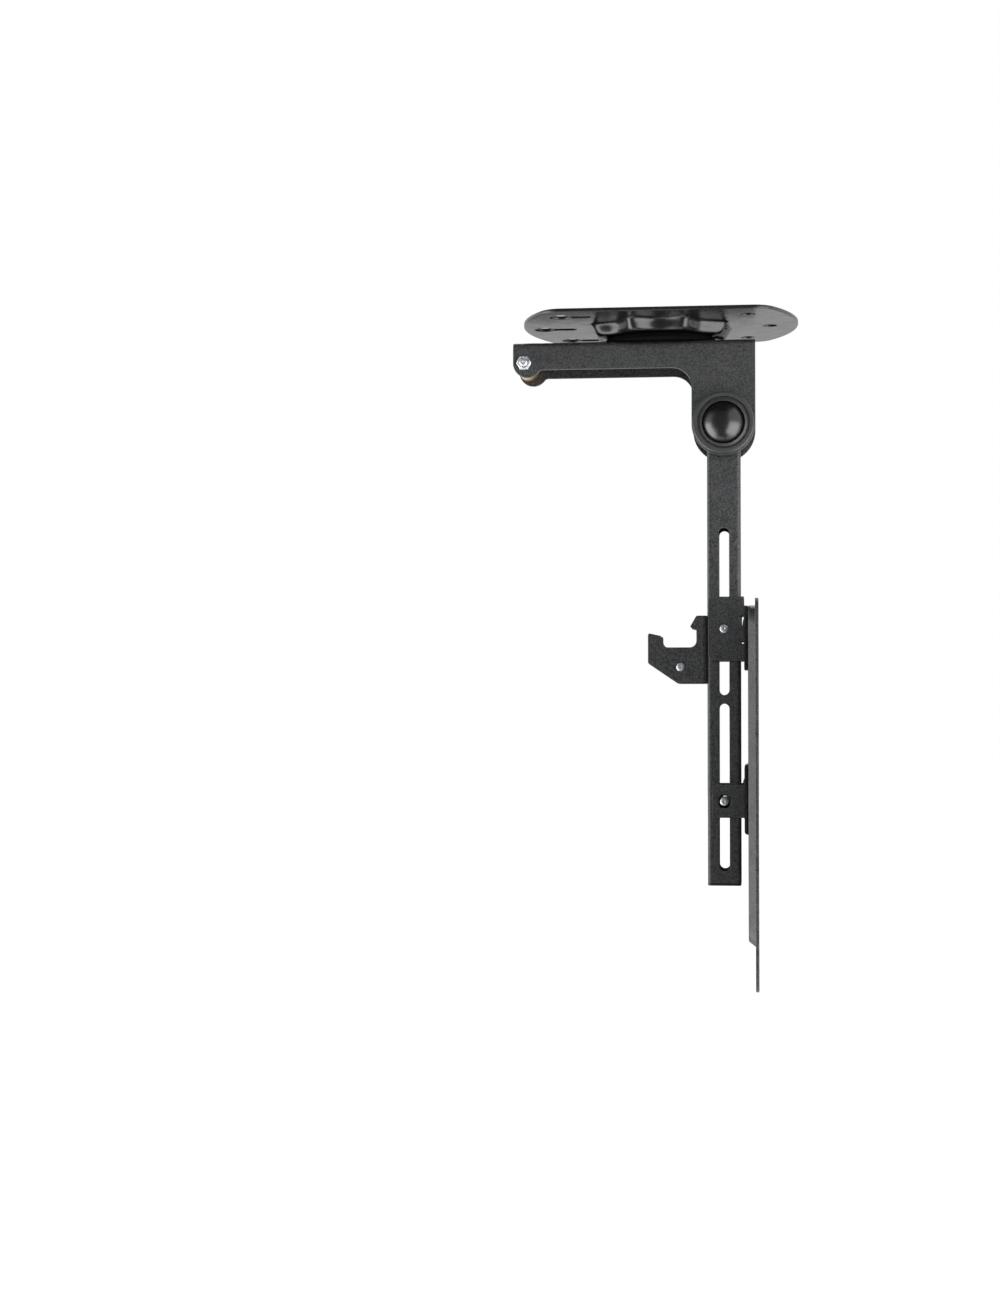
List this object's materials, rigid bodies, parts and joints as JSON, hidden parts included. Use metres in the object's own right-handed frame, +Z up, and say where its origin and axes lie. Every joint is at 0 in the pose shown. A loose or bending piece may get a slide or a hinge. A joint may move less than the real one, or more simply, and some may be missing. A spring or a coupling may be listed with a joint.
{
  "type": "tv ceiling mount",
  "caption": "Flip-down ceiling mount: lobed ceiling plate, swivelling folded-steel arm, slotted post that folds up under it and a screen plate clamped to the post.",
  "frame": {"origin": "centre of the ceiling plate's upper face, on the swivel axis", "axes": "+Z up towards the ceiling, +X from the latch end of the arm to its pivot end, +Y along the pivot"},
  "size_m": [0.1712, 0.22, 0.3914],
  "materials": {
    "powder_coat": "semi-matt black powder coat with a fine texture",
    "zinc": "bright zinc plate",
    "smooth_coat": "semi-gloss black powder coat with a smooth surface",
    "nylon": "black nylon",
    "yellow_zinc": "yellow zinc plate",
    "cover_ring": "satin black moulded plastic",
    "cover_cap": "polished black plastic",
    "end_cap": "matt black plastic"
  },
  "bodies": {
    "ceiling": {"ceiling_plate": "smooth_coat", "swivel_bolt": "zinc", "swivel_washer": "zinc", "swivel_nut": "zinc"},
    "arm": {"folding_arm": "powder_coat", "swivel_disc": "nylon", "latch_sleeve": "yellow_zinc", "latch_bolt": "zinc", "latch_nut": "zinc", "pivot_bolt": "zinc", "pivot_nut": "zinc", "pivot_washers": "zinc", "friction_washers": "nylon", "near_pivot_ring": "cover_ring", "far_pivot_ring": "cover_ring", "near_pivot_cap": "cover_cap", "far_pivot_cap": "cover_cap"},
    "post": {"post_tube": "powder_coat", "pivot_bush": "nylon", "post_end_cap": "end_cap", "latch_hook": "powder_coat", "hook_spacer": "zinc", "hook_bolt": "zinc"},
    "head": {"upper_clamp_bracket": "powder_coat", "lower_clamp_bracket": "powder_coat", "upper_clamp_bolt": "zinc", "lower_clamp_bolt": "zinc", "upper_clamp_washer": "zinc", "lower_clamp_washer": "zinc", "upper_clamp_rivets": "powder_coat", "lower_clamp_rivets": "powder_coat", "screen_plate": "powder_coat"}
  },
  "joints": [
    {"name": "swivel", "type": "hinge", "parent": "ceiling", "child": "arm", "pos_m": [0, 0, -0.0129], "axis": [0, 0, 1], "range_deg": [-45, 45]},
    {"name": "flip", "type": "hinge", "parent": "arm", "child": "post", "pos_m": [0.0382, 0, -0.0634], "axis": [0, 1, 0], "range_deg": [0, 90]},
    {"name": "height", "type": "slide", "parent": "post", "child": "head", "axis": [0, 0, 1], "range_m": [-0.036, 0.054]}
  ]
}
